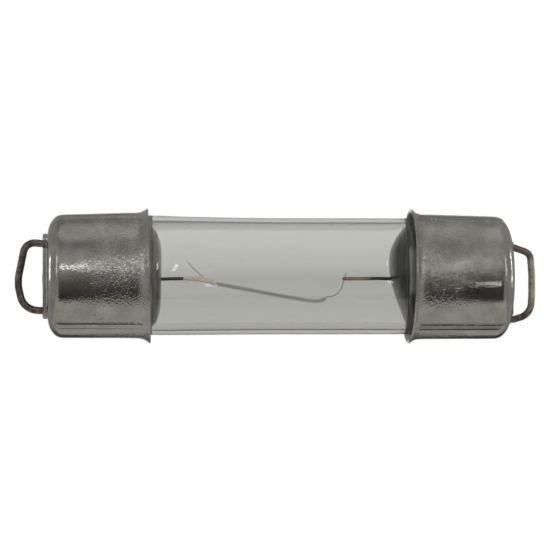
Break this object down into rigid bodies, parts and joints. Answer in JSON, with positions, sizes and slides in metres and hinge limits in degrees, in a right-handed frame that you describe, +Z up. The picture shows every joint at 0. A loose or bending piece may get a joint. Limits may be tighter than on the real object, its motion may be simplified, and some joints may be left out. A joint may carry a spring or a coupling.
{
  "type": "festoon light bulb",
  "caption": "Clear tubular automotive bulb with a sagging coiled filament, flared metal end caps and a rigid wire loop on each end.",
  "frame": {"origin": "centre of the bounding box, on the tube's axis and half way between the outer sides of the loops", "axes": "+X along the bulb towards the end whose loop is taller, +Z up in the plane of the loops, -Y towards the side on which the loops stand in front of the raised bars"},
  "size_m": [0.045, 0.0118, 0.0118],
  "materials": {
    "clear_glass": "clear blown glass",
    "nickel_plate": "nickel plated sheet, faintly mottled",
    "loop_wire": "bent steel wire with a dull dark skin",
    "solder": "tin solder, dull and lumpy",
    "lead_wire": "dark oxidised wire",
    "left_post_metal": "pale flattened wire",
    "right_post_metal": "brownish grey wire",
    "cement": "matte basing cement",
    "tungsten": "drawn wire, dark grey"
  },
  "bodies": {
    "root": {"glass_envelope": "clear_glass", "left_cap": "nickel_plate", "right_cap": "nickel_plate", "left_loop": "loop_wire", "right_loop": "loop_wire", "left_loop_solder": "solder", "right_loop_solder": "solder", "left_lead_solder": "solder", "right_lead_solder": "solder", "left_lead": "lead_wire", "right_lead": "lead_wire", "left_post": "left_post_metal", "right_post": "right_post_metal", "left_cement": "cement", "right_cement": "cement", "filament": "tungsten"}
  },
  "joints": []
}
